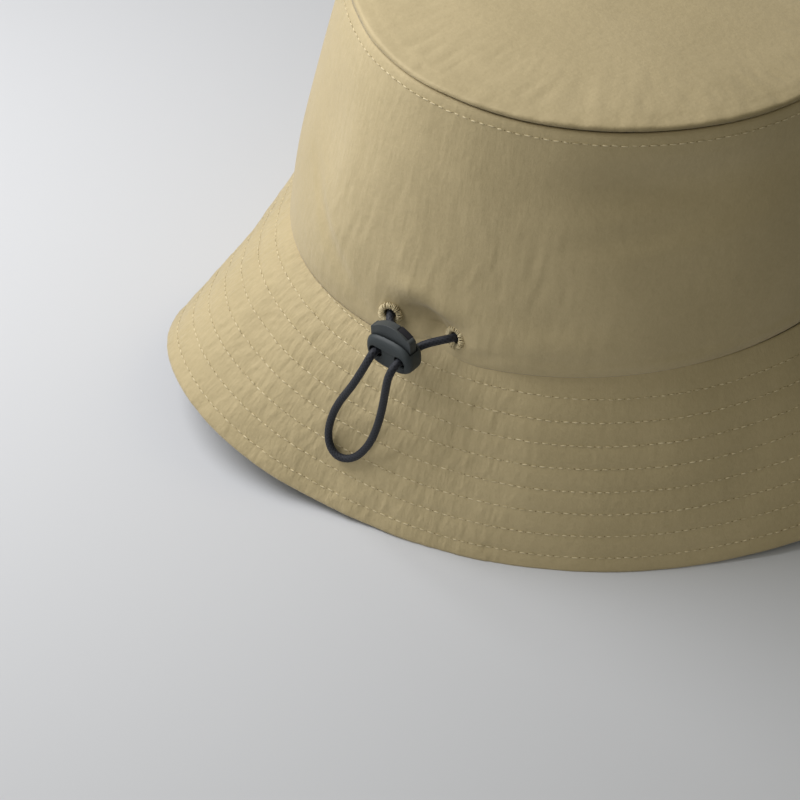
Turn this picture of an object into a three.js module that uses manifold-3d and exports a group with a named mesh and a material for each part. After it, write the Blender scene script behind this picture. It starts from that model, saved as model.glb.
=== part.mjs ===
// A bucket hat for fishing: a wide stitched brim, a tall crown, and a drawcord with a cord lock
// at the back. Millimetres, +Z up, the front of the hat towards -Y, standing on the rim of its brim.
import * as THREE from 'three';
import { mergeVertices } from 'three/addons/utils/BufferGeometryUtils.js';
import Module from 'manifold-3d';

const wasm = await Module();
wasm.setup();

// Driving sizes of the cloth, in millimetres and degrees
const HEAD_LENGTH = 194;
const HEAD_WIDTH = 178;
const BRIM_WIDTH = 65;
const BRIM_WALL = 1.8;
const BRIM_FLARE = 5.4;
const RIM_PRESS = 0.7;
const CROWN_HEIGHT = 76;
const CROWN_LEAN = 11;
const CROWN_LEAN_CURVE = 1.25;
const CROWN_SWELL = 1;
const CROWN_SWELL_RISE = 16;
const CROWN_WALL = 1.2;
const TOP_DOME = 3.5;
const BAND_HEIGHT = 26;
const BAND_DROP = 2;
const BAND_WALL = 1;
const CASING_DEPTH = 1.4;
const CASING_TURN = 94;
const CASING_HALF_TURN = 26;
const GAP = 0.3;

// Driving sizes of the eyelets, the cord and the cord lock
const EYELET_RADIUS = 3.4;
const EYELET_HOLE_RADIUS = 2;
const EYELET_SLEEVE = 0.45;
const EYELET_THICKNESS = 0.8;
const EYELET_SEAT = 0.5;
const CORD_DIAMETER = 2.4;
const BARREL_WIDTH = 16.8;
const BARREL_HEIGHT = 10.8;
const BARREL_DEPTH = 7;
const BARREL_ROUNDING = 1.2;
const BARREL_SQUARENESS = 2.8;
const BARREL_WALL = 1.6;
const HOLE_SPACING = 8.9;
const HOLE_RISE = -0.4;
const HOLE_CLEARANCE = 0.9;
const SCOOP_DEPTH = 0.7;
const PLUNGER_WIDTH = 14.8;
const PLUNGER_RISE = 3.5;
const PLUNGER_CROWN = 2.4;
const PLUNGER_TRAVEL = 1.2;
const PLUNGER_EDGE = 0.5;
const THUMB_HOLLOW = 0.5;

// The brim at twelve even turns, from +X by way of the back: how steeply it falls in degrees,
// and how far the crown pouches over it, as a share of the brim's width.
const BRIM_STATIONS = [
  { slope: 66, pouch: 0.1 },
  { slope: 63, pouch: 0.13 },
  { slope: 39.5, pouch: 0.14 },
  { slope: 62.5, pouch: 0.095 },
  { slope: 68.2, pouch: 0.045 },
  { slope: 64.8, pouch: 0.01 },
  { slope: 52.7, pouch: 0 },
  { slope: 60, pouch: 0.02 },
  { slope: 66.5, pouch: 0.05 },
  { slope: 67.5, pouch: 0.06 },
  { slope: 66.5, pouch: 0.06 },
  { slope: 66, pouch: 0.08 },
];

// Dents and soft rolls of the crown: centre in degrees of turn and share of the crown's height,
// half sizes in the same units, and depth as a share of the crown's height (negative is a roll).
const CROWN_FOLDS = [
  { turn: 95.5, rise: 0.1, halfTurn: 11.5, halfRise: 0.15, depth: 0.07 },
  { turn: 120, rise: 0.13, halfTurn: 16, halfRise: 0.12, depth: -0.016 },
  { turn: 140, rise: 0.76, halfTurn: 34, halfRise: 0.2, depth: 0.045 },
  { turn: 62, rise: 0.5, halfTurn: 12, halfRise: 0.42, depth: 0.018 },
  { turn: 262, rise: 0.6, halfTurn: 30, halfRise: 0.26, depth: 0.03 },
  { turn: 330, rise: 0.4, halfTurn: 22, halfRise: 0.3, depth: 0.022 },
];

// The eyelets: turn in degrees and share of the crown's height
const EYELETS = [
  { name: 'eyelet_1', turn: 87.6, rise: 0.087 },
  { name: 'eyelet_2', turn: 101.3, rise: 0.074 },
];

// The cord lock: the middle of its barrel, its dip away from the crown and its roll to one side
const LOCK_CENTRE = [-6.4, 109.6, 61.1];
const LOCK_DIP = 0;
const LOCK_ROLL = 5;

// The drawcord's route, from inside one eyelet through the lock, round the loop and back
const CORD_ROUTE = [
  [5.3, 95.5, 62.2],
  [4.5, 97.4, 62.4],
  [3.6, 99.5, 62.5],
  [2.2, 101.4, 62.2],
  [0.2, 102.8, 61.5],
  [-1.3, 104.2, 60.8],
  [-1.9, 106.1, 60.4],
  [-2.0, 109.6, 60.3],
  [-2.0, 112.2, 60.4],
  [-1.9, 113.9, 60.1],
  [-1.6, 115.1, 58.6],
  [-0.9, 115.8, 56.3],
  [0.5, 116.7, 52.3],
  [2.4, 117.6, 47.4],
  [4.8, 118.1, 42.4],
  [7.0, 118.7, 37.5],
  [8.6, 119.7, 31.8],
  [9.0, 120.8, 25.9],
  [7.9, 121.6, 22.6],
  [6.2, 122.0, 20.7],
  [3.9, 122.0, 19.8],
  [1.3, 121.2, 20.0],
  [-1.2, 120.1, 21.7],
  [-3.4, 119.0, 25.0],
  [-5.5, 118.0, 30.1],
  [-6.9, 117.2, 35.9],
  [-7.9, 116.7, 41.8],
  [-8.7, 116.5, 47.7],
  [-9.5, 116.6, 53.3],
  [-10.1, 116.5, 57.2],
  [-10.6, 115.8, 59.7],
  [-10.8, 114.2, 61.1],
  [-10.8, 112.2, 61.3],
  [-10.8, 109.6, 61.1],
  [-10.8, 106.3, 61.2],
  [-11.3, 104.3, 61.8],
  [-12.9, 102.3, 62.8],
  [-14.8, 100.2, 63.5],
  [-16.5, 98.2, 63.9],
  [-17.3, 96.2, 63.6],
  [-17.7, 94.3, 63.0],
  [-17.8, 92.6, 62.6],
];

// How finely the curved pieces are divided
const COARSE_TURN = 5;
const FINE_TURN = 2.5;
const FINE_FROM = 75;
const FINE_TO = 115;
const BRIM_STEPS = 7;
const CROWN_STEPS = 9;
const BAND_STEPS = 3;
const TOP_STEPS = 4;
const EYELET_SIDES = 16;
const CORD_SIDES = 8;
const CORD_STEPS = 54;
const BARREL_SIDES = 40;
const HOLE_SIDES = 14;

const radians = THREE.MathUtils.degToRad;
const cordRadius = CORD_DIAMETER / 2;
const holeRadius = cordRadius + HOLE_CLEARANCE;

// Materials
const cloth = new THREE.MeshStandardMaterial({ color: 0xa8966c, roughness: 0.85, metalness: 0 });
const clothInside = new THREE.MeshStandardMaterial({ color: 0x9a8a62, roughness: 0.9, metalness: 0 });
const thread = new THREE.MeshStandardMaterial({ color: 0xb9a67c, roughness: 0.7, metalness: 0 });
const cordCover = new THREE.MeshStandardMaterial({ color: 0x23262f, roughness: 0.8, metalness: 0 });
const lockPlastic = new THREE.MeshStandardMaterial({ color: 0x3c4247, roughness: 0.45, metalness: 0 });

// A smooth value from a column of the station table, at a turn in degrees
function station(column, turn) {
  const count = BRIM_STATIONS.length;
  const place = ((((turn / 360) % 1) + 1) % 1) * count;
  const index = Math.floor(place);
  const part = place - index;
  const value = (step) => BRIM_STATIONS[(index + step + count) % count][column];
  const [before, here, next, after] = [value(-1), value(0), value(1), value(2)];
  const bend = 2 * before - 5 * here + 4 * next - after;
  const twist = 3 * (here - next) + after - before;
  return here + 0.5 * part * (next - before + part * (bend + part * twist));
}

// A point of the seam oval, with the outward direction there
function seam(turn) {
  const angle = radians(turn);
  const across = HEAD_WIDTH / 2;
  const along = HEAD_LENGTH / 2;
  const out = new THREE.Vector2(Math.cos(angle) / across, Math.sin(angle) / along).normalize();
  return { x: across * Math.cos(angle), y: along * Math.sin(angle), out };
}

// The brim's outer face at a share of its width: how far out, how far down, and its slope
function brimFall(turn, share) {
  const slope = radians(station('slope', turn));
  const flare = radians(BRIM_FLARE);
  const start = slope - flare;
  const end = start + 2 * flare * share;
  return {
    out: BRIM_WIDTH * (Math.sin(end) - Math.sin(start)) / (2 * flare),
    drop: BRIM_WIDTH * (Math.cos(start) - Math.cos(end)) / (2 * flare),
    slope: end,
  };
}

// The rim presses flat on the ground where the brim hangs lowest
const allTurns = Array.from({ length: 360 }, (_, turn) => turn);
const deepest = Math.max(...allTurns.map((turn) => brimFall(turn, 1).drop));
const seamHeight = deepest - RIM_PRESS;

function offset(turn, out, height) {
  const place = seam(turn);
  return new THREE.Vector3(place.x + place.out.x * out, place.y + place.out.y * out, height);
}

function brimPoint(turn, share, lift) {
  const fall = brimFall(turn, share);
  const out = fall.out + lift * Math.sin(fall.slope);
  const height = seamHeight - fall.drop + lift * Math.cos(fall.slope);
  return offset(turn, out, Math.max(height, 0));
}

// The height just clear of the brim's outer face, at a distance out from the seam
function aboveBrim(turn, out) {
  let low = 0;
  let high = 1;
  for (let step = 0; step < 30; step += 1) {
    const middle = (low + high) / 2;
    if (brimFall(turn, middle).out < out) low = middle;
    else high = middle;
  }
  const fall = brimFall(turn, low);
  return seamHeight - fall.drop + GAP / Math.cos(fall.slope);
}

// A smooth hump: 1 at its centre, 0 from its half size outwards
function hump(distance, half) {
  return Math.abs(distance) < half ? Math.cos((Math.PI / 2) * (distance / half)) ** 2 : 0;
}

function turnBetween(a, b) {
  return ((((a - b + 180) % 360) + 360) % 360) - 180;
}

// How far the crown's face stands out from the seam oval, without its pouch
function crownShape(turn, rise) {
  const swell = (rise * CROWN_HEIGHT) / CROWN_SWELL_RISE;
  let out = CROWN_SWELL * swell * Math.exp(1 - swell) - CROWN_LEAN * rise ** CROWN_LEAN_CURVE;
  for (const fold of CROWN_FOLDS) {
    const across = hump(turnBetween(turn, fold.turn), fold.halfTurn);
    out -= fold.depth * CROWN_HEIGHT * across * hump(rise - fold.rise, fold.halfRise);
  }
  return out;
}

function crownPoint(turn, rise, inset) {
  const pouch = brimFall(turn, station('pouch', turn)).out;
  const foot = aboveBrim(turn, pouch + crownShape(turn, 0) - inset) - seamHeight;
  const out = pouch * (1 - rise) + crownShape(turn, rise) - inset;
  return offset(turn, out, seamHeight + CROWN_HEIGHT * rise + foot * (1 - rise) ** 2);
}

// The inner band follows the crown's lean, and stands off it at the drawcord
const bandInset = BRIM_WALL + GAP;
function bandPoint(turn, height, inset) {
  const rise = Math.max(height, 0) / CROWN_HEIGHT;
  const lean = CROWN_LEAN * rise ** CROWN_LEAN_CURVE;
  const casing = CASING_DEPTH * hump(turnBetween(turn, CASING_TURN), CASING_HALF_TURN);
  return offset(turn, -bandInset - lean - casing - inset, seamHeight + height);
}

// The turns at which the cloth pieces are cut, closer together at the drawcord
function clothTurns() {
  const turns = [];
  let turn = 0;
  while (turn < 360) {
    turns.push(turn);
    turn += turn >= FINE_FROM && turn < FINE_TO ? FINE_TURN : COARSE_TURN;
  }
  return turns;
}

function geometryFrom(points, triangles) {
  const geometry = new THREE.BufferGeometry();
  const values = points.flatMap((point) => [point.x, point.y, point.z]);
  geometry.setAttribute('position', new THREE.Float32BufferAttribute(values, 3));
  geometry.setIndex(triangles);
  geometry.computeVertexNormals();
  return geometry;
}

// A closed ring of cloth: a loop of points at each turn, joined to the next turn's loop
function ringGeometry(turns, loopAt) {
  const loops = turns.map(loopAt);
  const size = loops[0].length;
  const triangles = [];
  for (let i = 0; i < turns.length; i += 1) {
    const next = (i + 1) % turns.length;
    for (let j = 0; j < size; j += 1) {
      const above = (j + 1) % size;
      const [a, b] = [i * size + j, next * size + j];
      const [c, d] = [next * size + above, i * size + above];
      triangles.push(a, b, c, a, c, d);
    }
  }
  return geometryFrom(loops.flat(), triangles);
}

// A loop round a cloth wall: up one face and back down the other
function wallLoop(steps, outside, inside) {
  const shares = Array.from({ length: steps + 1 }, (_, step) => step / steps);
  return [...shares.map(outside), ...shares.reverse().map(inside)];
}

function brimGeometry() {
  return ringGeometry(clothTurns(), (turn) => wallLoop(
    BRIM_STEPS,
    (share) => brimPoint(turn, 1 - share, 0),
    (share) => brimPoint(turn, 1 - share, -BRIM_WALL),
  ));
}

// The crown's rings lie closer together near the brim, where it pouches
function crownSideGeometry() {
  return ringGeometry(clothTurns(), (turn) => wallLoop(
    CROWN_STEPS,
    (share) => crownPoint(turn, share ** 1.4, 0),
    (share) => crownPoint(turn, share ** 1.4, CROWN_WALL),
  ));
}

function bandGeometry() {
  const height = (share) => share * (BAND_HEIGHT + BAND_DROP) - BAND_DROP;
  return ringGeometry(clothTurns(), (turn) => wallLoop(
    BAND_STEPS,
    (share) => bandPoint(turn, height(share), 0),
    (share) => bandPoint(turn, height(share), BAND_WALL),
  ));
}

// The crown's top panel: a thin dome on the edge of the side wall
function crownTopGeometry() {
  const turns = clothTurns();
  const floor = seamHeight + CROWN_HEIGHT + GAP;
  const points = [];
  const faceRing = (share, height) => {
    for (const turn of turns) {
      const edge = offset(turn, -CROWN_LEAN, 0);
      const rise = TOP_DOME * (1 - share ** 2);
      points.push(new THREE.Vector3(edge.x * share, edge.y * share, floor + height + rise));
    }
  };
  const shares = Array.from({ length: TOP_STEPS }, (_, step) => (step + 1) / TOP_STEPS);
  shares.forEach((share) => faceRing(share, CROWN_WALL));
  shares.reverse().forEach((share) => faceRing(share, 0));
  points.push(new THREE.Vector3(0, 0, floor + CROWN_WALL + TOP_DOME));
  points.push(new THREE.Vector3(0, 0, floor + TOP_DOME));
  const count = turns.length;
  const rings = TOP_STEPS * 2;
  const upper = rings * count;
  const triangles = [];
  for (let i = 0; i < count; i += 1) {
    const next = (i + 1) % count;
    triangles.push(upper, i, next);
    triangles.push(upper + 1, (rings - 1) * count + next, (rings - 1) * count + i);
    for (let ring = 0; ring < rings - 1; ring += 1) {
      const [a, b] = [ring * count + i, ring * count + next];
      const [c, d] = [(ring + 1) * count + next, (ring + 1) * count + i];
      triangles.push(a, d, c, a, c, b);
    }
  }
  return geometryFrom(points, triangles);
}

// Solids for cutting, made from a geometry's merged vertices
function solid(geometry) {
  const plain = geometry.clone();
  plain.deleteAttribute('normal');
  plain.deleteAttribute('uv');
  const merged = mergeVertices(plain, 1e-4);
  return new wasm.Manifold(new wasm.Mesh({
    numProp: 3,
    vertProperties: merged.attributes.position.array,
    triVerts: new Uint32Array(merged.index.array),
  }));
}

function geometryOf(body) {
  const mesh = body.getMesh();
  const geometry = new THREE.BufferGeometry();
  geometry.setAttribute('position', new THREE.BufferAttribute(mesh.vertProperties, 3));
  geometry.setIndex(new THREE.BufferAttribute(mesh.triVerts, 1));
  geometry.computeVertexNormals();
  return geometry;
}

// Where an eyelet sits: a frame on the crown's outer face with Z pointing outwards
function eyeletFrame(eyelet) {
  const step = 0.5;
  const riseStep = 0.01;
  const centre = crownPoint(eyelet.turn, eyelet.rise, 0);
  const along = crownPoint(eyelet.turn + step, eyelet.rise, 0);
  along.sub(crownPoint(eyelet.turn - step, eyelet.rise, 0)).normalize();
  const up = crownPoint(eyelet.turn, eyelet.rise + riseStep, 0);
  up.sub(crownPoint(eyelet.turn, eyelet.rise - riseStep, 0)).normalize();
  const out = new THREE.Vector3().crossVectors(along, up).normalize();
  const top = new THREE.Vector3().crossVectors(out, along);
  return new THREE.Matrix4().makeBasis(along, top, out).setPosition(centre);
}

function eyeletHole(eyelet) {
  const radius = EYELET_HOLE_RADIUS + EYELET_SLEEVE + GAP;
  const cutter = new THREE.CylinderGeometry(radius, radius, 6 * CROWN_WALL, EYELET_SIDES);
  cutter.rotateX(Math.PI / 2);
  return solid(cutter.applyMatrix4(eyeletFrame(eyelet)));
}

// A stitched ring: a sleeve through the cloth with a rounded lip on the outer face
function eyeletGeometry() {
  const seat = EYELET_SEAT;
  const lip = seat + EYELET_THICKNESS;
  const sleeve = EYELET_HOLE_RADIUS + EYELET_SLEEVE;
  const middle = (EYELET_HOLE_RADIUS + EYELET_RADIUS) / 2;
  const outline = [
    [EYELET_HOLE_RADIUS, -CROWN_WALL],
    [sleeve, -CROWN_WALL],
    [sleeve, seat],
    [EYELET_RADIUS - EYELET_SLEEVE, seat],
    [EYELET_RADIUS, seat + 0.4 * EYELET_THICKNESS],
    [middle + EYELET_SLEEVE, lip],
    [middle - EYELET_SLEEVE, lip],
    [EYELET_HOLE_RADIUS, seat + 0.4 * EYELET_THICKNESS],
    [EYELET_HOLE_RADIUS, -CROWN_WALL],
  ];
  const profile = outline.map(([radius, height]) => new THREE.Vector2(radius, height));
  return new THREE.LatheGeometry(profile, EYELET_SIDES).rotateX(Math.PI / 2);
}

function cordGeometry() {
  const section = new THREE.Shape();
  for (let side = 0; side < CORD_SIDES; side += 1) {
    const angle = (side / CORD_SIDES) * 2 * Math.PI;
    const corner = [cordRadius * Math.cos(angle), cordRadius * Math.sin(angle)];
    if (side === 0) section.moveTo(...corner);
    else section.lineTo(...corner);
  }
  section.closePath();
  const route = new THREE.CatmullRomCurve3(CORD_ROUTE.map((point) => new THREE.Vector3(...point)));
  return new THREE.ExtrudeGeometry(section, { extrudePath: route, steps: CORD_STEPS });
}

// The cord lock's own frame: X along the row of holes, Y up towards the button, Z out of the holes
function lockFrame() {
  const turn = new THREE.Matrix4().makeRotationX(radians(LOCK_DIP));
  const stand = new THREE.Matrix4().makeBasis(
    new THREE.Vector3(-1, 0, 0),
    new THREE.Vector3(0, 0, 1),
    new THREE.Vector3(0, 1, 0),
  );
  const roll = new THREE.Matrix4().makeRotationZ(radians(LOCK_ROLL));
  const place = new THREE.Matrix4().makeTranslation(...LOCK_CENTRE);
  return place.multiply(stand).multiply(turn).multiply(roll);
}

// The rounded front outline of the barrel
function barrelHalfHeight(across) {
  const share = Math.min(Math.abs(across) / (BARREL_WIDTH / 2), 1);
  return (BARREL_HEIGHT / 2) * (1 - share ** BARREL_SQUARENESS) ** (1 / BARREL_SQUARENESS);
}

function barrelOutline() {
  const outline = new THREE.Shape();
  const power = 2 / BARREL_SQUARENESS;
  for (let side = 0; side < BARREL_SIDES; side += 1) {
    const angle = (side / BARREL_SIDES) * 2 * Math.PI;
    const [cos, sin] = [Math.cos(angle), Math.sin(angle)];
    const x = (BARREL_WIDTH / 2) * Math.sign(cos) * Math.abs(cos) ** power;
    const y = (BARREL_HEIGHT / 2) * Math.sign(sin) * Math.abs(sin) ** power;
    if (side === 0) outline.moveTo(x, y);
    else outline.lineTo(x, y);
  }
  outline.closePath();
  return outline;
}

// A block of an outline with rounded edges, centred on the lock's middle plane
function roundedBlock(outline, depth, edge, edgeSteps) {
  const geometry = new THREE.ExtrudeGeometry(outline, {
    depth: depth - 2 * edge,
    bevelEnabled: edge > 0,
    bevelThickness: edge,
    bevelSize: edge,
    bevelOffset: -edge,
    bevelSegments: edgeSteps,
    curveSegments: 8,
  });
  return geometry.translate(0, 0, edge - depth / 2);
}

function box(left, right, bottom, top, depth) {
  const block = new THREE.BoxGeometry(right - left, top - bottom, depth);
  return solid(block.translate((left + right) / 2, (bottom + top) / 2, 0));
}

// Sizes that the barrel and the button share
const cavityDepth = BARREL_DEPTH - 2 * BARREL_WALL;
const plungerDepth = cavityDepth - 2 * GAP;
const windowHalf = cordRadius + GAP + 0.1;
const barTop = HOLE_RISE - cordRadius - GAP;
const barBottom = barTop - 0.8;
const windowTop = HOLE_RISE + cordRadius + GAP + PLUNGER_TRAVEL;
const shoulder = HOLE_SPACING / 2 + windowHalf;
const legBottom = barTop + 2;
const barHalf = HOLE_SPACING / 2 + 0.5 * cordRadius;

function barrelGeometry() {
  const wide = PLUNGER_WIDTH / 2 + GAP;
  const narrow = barHalf + GAP;
  const legFloor = legBottom - PLUNGER_TRAVEL - GAP;
  const barFloor = barBottom - PLUNGER_TRAVEL - GAP;
  let body = solid(roundedBlock(barrelOutline(), BARREL_DEPTH, BARREL_ROUNDING, 3));
  body = body.subtract(box(-wide, wide, legFloor, BARREL_HEIGHT, cavityDepth));
  body = body.subtract(box(-narrow, narrow, barFloor, BARREL_HEIGHT, cavityDepth));
  for (const side of [-1, 1]) {
    const hole = new THREE.CylinderGeometry(holeRadius, holeRadius, 2 * BARREL_DEPTH, HOLE_SIDES);
    hole.rotateX(Math.PI / 2).translate((side * HOLE_SPACING) / 2, HOLE_RISE, 0);
    body = body.subtract(solid(hole));
  }
  const brow = HOLE_RISE + holeRadius - 0.1;
  const scoop = new THREE.Shape();
  scoop.moveTo(-shoulder - 0.4, -BARREL_HEIGHT);
  scoop.lineTo(shoulder + 0.4, -BARREL_HEIGHT);
  scoop.lineTo(shoulder + 0.4, brow - 1.4);
  scoop.quadraticCurveTo(shoulder + 0.4, brow, shoulder - 1, brow);
  scoop.lineTo(1 - shoulder, brow);
  scoop.quadraticCurveTo(-shoulder - 0.4, brow, -shoulder - 0.4, brow - 1.4);
  const cut = roundedBlock(scoop, 2 * SCOOP_DEPTH, 0, 1).translate(0, 0, BARREL_DEPTH / 2);
  return geometryOf(body.subtract(solid(cut)));
}

// The button's outline: an arched head, legs beside the strands and a bar under them
function plungerOutline() {
  const half = PLUNGER_WIDTH / 2;
  const top = barrelHalfHeight(half) + PLUNGER_RISE;
  const outline = new THREE.Shape();
  outline.moveTo(-barHalf, barBottom);
  outline.lineTo(barHalf, barBottom);
  outline.lineTo(barHalf, legBottom);
  outline.lineTo(half, legBottom);
  outline.lineTo(half, top - 1);
  outline.quadraticCurveTo(half, top, half - 1.2, top + 0.2);
  outline.quadraticCurveTo(0, top + 2 * PLUNGER_CROWN - 0.2, 1.2 - half, top + 0.2);
  outline.quadraticCurveTo(-half, top, -half, top - 1);
  outline.lineTo(-half, legBottom);
  outline.lineTo(-barHalf, legBottom);
  outline.closePath();
  return outline;
}

function plungerGeometry() {
  let body = solid(roundedBlock(plungerOutline(), plungerDepth, PLUNGER_EDGE, 2));
  for (const side of [-1, 1]) {
    const middle = (side * HOLE_SPACING) / 2;
    const span = windowHalf + 0.01;
    const [left, right] = [middle - windowHalf, middle + windowHalf];
    body = body.subtract(box(left, right, barTop, windowTop, 2 * plungerDepth));
    const outer = side * (shoulder + span);
    const [from, to] = [Math.min(middle, outer), Math.max(middle, outer)];
    body = body.subtract(box(from, to, barTop, legBottom, 2 * plungerDepth));
  }
  const half = PLUNGER_WIDTH / 2;
  const crest = barrelHalfHeight(half) + PLUNGER_RISE + PLUNGER_CROWN;
  const hollow = new THREE.CylinderGeometry(1, 1, plungerDepth - 2, HOLE_SIDES);
  hollow.rotateX(Math.PI / 2).scale(half - 3.2, THUMB_HOLLOW, 1).translate(0, crest + 0.25, 0);
  return geometryOf(body.subtract(solid(hollow)));
}

function crownSide() {
  let body = solid(crownSideGeometry());
  for (const eyelet of EYELETS) body = body.subtract(eyeletHole(eyelet));
  return geometryOf(body);
}

// The whole hat, moved so that its origin is under the middle of its outline
const hat = new THREE.Group();
const parts = new THREE.Group();

function addPart(name, geometry, material, matrix) {
  const mesh = new THREE.Mesh(geometry, material);
  mesh.name = name;
  if (matrix) matrix.decompose(mesh.position, mesh.quaternion, mesh.scale);
  parts.add(mesh);
  return mesh;
}

const brim = addPart('brim', brimGeometry(), cloth);
addPart('crown_side', crownSide(), cloth);
addPart('crown_top', crownTopGeometry(), cloth);
addPart('inner_band', bandGeometry(), clothInside);
for (const eyelet of EYELETS) addPart(eyelet.name, eyeletGeometry(), thread, eyeletFrame(eyelet));
addPart('drawcord', cordGeometry(), cordCover);
addPart('cord_lock_barrel', barrelGeometry(), lockPlastic, lockFrame());
addPart('cord_lock_plunger', plungerGeometry(), lockPlastic, lockFrame());

const middle = new THREE.Box3().setFromObject(brim).getCenter(new THREE.Vector3());
parts.position.set(-middle.x, -middle.y, 0);
hat.add(parts);

export default hat;
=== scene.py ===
"""The looks of a khaki bucket hat with a stitched brim, a drawcord and a cord lock."""

import math

import bpy
import numpy as np
from mathutils import Matrix, Vector


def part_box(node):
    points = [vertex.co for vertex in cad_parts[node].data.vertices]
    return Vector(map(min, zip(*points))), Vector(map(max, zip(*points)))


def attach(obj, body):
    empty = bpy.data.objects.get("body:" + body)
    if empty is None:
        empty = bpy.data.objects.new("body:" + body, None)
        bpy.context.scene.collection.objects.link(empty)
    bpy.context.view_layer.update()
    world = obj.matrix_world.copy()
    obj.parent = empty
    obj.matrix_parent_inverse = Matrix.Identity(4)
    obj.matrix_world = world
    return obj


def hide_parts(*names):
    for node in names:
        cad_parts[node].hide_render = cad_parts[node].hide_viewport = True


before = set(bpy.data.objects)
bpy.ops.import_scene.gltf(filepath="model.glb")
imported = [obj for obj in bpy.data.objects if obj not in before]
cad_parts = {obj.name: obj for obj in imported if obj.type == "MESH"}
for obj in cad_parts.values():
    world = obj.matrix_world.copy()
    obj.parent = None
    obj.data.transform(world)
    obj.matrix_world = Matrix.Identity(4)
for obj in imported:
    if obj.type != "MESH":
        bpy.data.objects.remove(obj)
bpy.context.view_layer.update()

MM = 0.001

# The cloth's sizes in millimetres and degrees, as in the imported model
HEAD_LENGTH = 194
HEAD_WIDTH = 178
BRIM_WIDTH = 65
BRIM_WALL = 1.8
BRIM_FLARE = 5.4
RIM_PRESS = 0.7
CROWN_HEIGHT = 76
CROWN_LEAN = 11
CROWN_LEAN_CURVE = 1.25
CROWN_SWELL = 1
CROWN_SWELL_RISE = 16
CROWN_WALL = 1.2
TOP_DOME = 3.5
BAND_HEIGHT = 26
BAND_DROP = 2
BAND_WALL = 1
CASING_DEPTH = 1.4
CASING_TURN = 94
CASING_HALF_TURN = 26
GAP = 0.3

# The sizes of the cord, the eyelets and the cord lock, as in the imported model
CORD_DIAMETER = 2.4
EYELET_RADIUS = 3.4
EYELET_HOLE_RADIUS = 2
BARREL_WIDTH = 16.8
BARREL_HEIGHT = 10.8
BARREL_DEPTH = 7
BARREL_SQUARENESS = 2.8
BARREL_WALL = 1.6
HOLE_SPACING = 8.9
HOLE_RISE = -0.4
HOLE_CLEARANCE = 0.9
SCOOP_DEPTH = 0.7
PLUNGER_WIDTH = 14.8
PLUNGER_RISE = 3.5
PLUNGER_CROWN = 2.4
PLUNGER_TRAVEL = 1.2
LOCK_CENTRE = (-6.4, 109.6, 61.1)
LOCK_ROLL = 5

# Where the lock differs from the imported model, inside its box, to look as it does in the photograph
BARREL_ROUNDING = 2.1
BUTTON_THINNED = 0.5

# The brim at twelve even turns: slope in degrees, and the crown's pouch as a share of the width
BRIM_SLOPES = np.array([66, 63, 39.5, 62.5, 68.2, 64.8, 52.7, 60, 66.5, 67.5, 66.5, 66])
BRIM_POUCHES = np.array([0.1, 0.13, 0.14, 0.095, 0.045, 0.01, 0, 0.02, 0.05, 0.06, 0.06, 0.08])

# Dents of the crown: turn, rise, half turn, half rise, depth as a share of the crown's height
CROWN_FOLDS = [
    (95.5, 0.1, 11.5, 0.15, 0.07),
    (120, 0.13, 16, 0.12, -0.016),
    (140, 0.76, 34, 0.2, 0.045),
    (62, 0.5, 12, 0.42, 0.018),
    (262, 0.6, 30, 0.26, 0.03),
    (330, 0.4, 22, 0.3, 0.022),
]

EYELETS = {"eyelet_1": (87.6, 0.087), "eyelet_2": (101.3, 0.074)}

# The drawcord's route in millimetres, from inside one eyelet through the lock and back
CORD_ROUTE = [
    (5.3, 95.5, 62.2), (4.5, 97.4, 62.4), (3.6, 99.5, 62.5), (2.2, 101.4, 62.2),
    (0.2, 102.8, 61.5), (-1.3, 104.2, 60.8), (-1.9, 106.1, 60.4), (-2.0, 109.6, 60.3),
    (-2.0, 112.2, 60.4), (-1.9, 113.9, 60.1), (-1.6, 115.1, 58.6), (-0.9, 115.8, 56.3),
    (0.5, 116.7, 52.3), (2.4, 117.6, 47.4), (4.8, 118.1, 42.4), (7.0, 118.7, 37.5),
    (8.6, 119.7, 31.8), (9.0, 120.8, 25.9), (7.9, 121.6, 22.6), (6.2, 122.0, 20.7),
    (3.9, 122.0, 19.8), (1.3, 121.2, 20.0), (-1.2, 120.1, 21.7), (-3.4, 119.0, 25.0),
    (-5.5, 118.0, 30.1), (-6.9, 117.2, 35.9), (-7.9, 116.7, 41.8), (-8.7, 116.5, 47.7),
    (-9.5, 116.6, 53.3), (-10.1, 116.5, 57.2), (-10.6, 115.8, 59.7), (-10.8, 114.2, 61.1),
    (-10.8, 112.2, 61.3), (-10.8, 109.6, 61.1), (-10.8, 106.3, 61.2), (-11.3, 104.3, 61.8),
    (-12.9, 102.3, 62.8), (-14.8, 100.2, 63.5), (-16.5, 98.2, 63.9), (-17.3, 96.2, 63.6),
    (-17.7, 94.3, 63.0), (-17.8, 92.6, 62.6),
]

# The brim's stitching: eight rows, evenly spaced, as shares of its width
ROW_COUNT = 8
FIRST_ROW = 0.127
LAST_ROW = 0.915
ROWS = np.linspace(FIRST_ROW, LAST_ROW, ROW_COUNT)

# Thread, and the dark beads that paint the shade in its needle holes, in millimetres: sizes are length,
# width and height
STITCH_PITCH = 2.6
STITCH_SIZE = (1.9, 0.48, 0.36)
STITCH_LIFT = 0.07
HOLE_SHADE_SIZE = (0.5, 0.4, 0.15)
BEAD_FLOOR = 0.22

# Seams in millimetres: below the crown's top edge, and above the crown's foot for the band's hem
TOP_SEAM_DROP = 3.2
BAND_HEM = 23

# Turns in degrees between which something is so: where it starts, is full, starts to end and ends
BRIM_PUCKERS = (20, 45, 107, 122)
FRONT_PUCKERS = (175, 200, 330, 350)
CROWN_PUCKERS = (55, 75, 112, 135)
FOOT_ROLL = (100, 112, 190, 210)
FINE_MESH = (10, 30, 135, 150)

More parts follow.
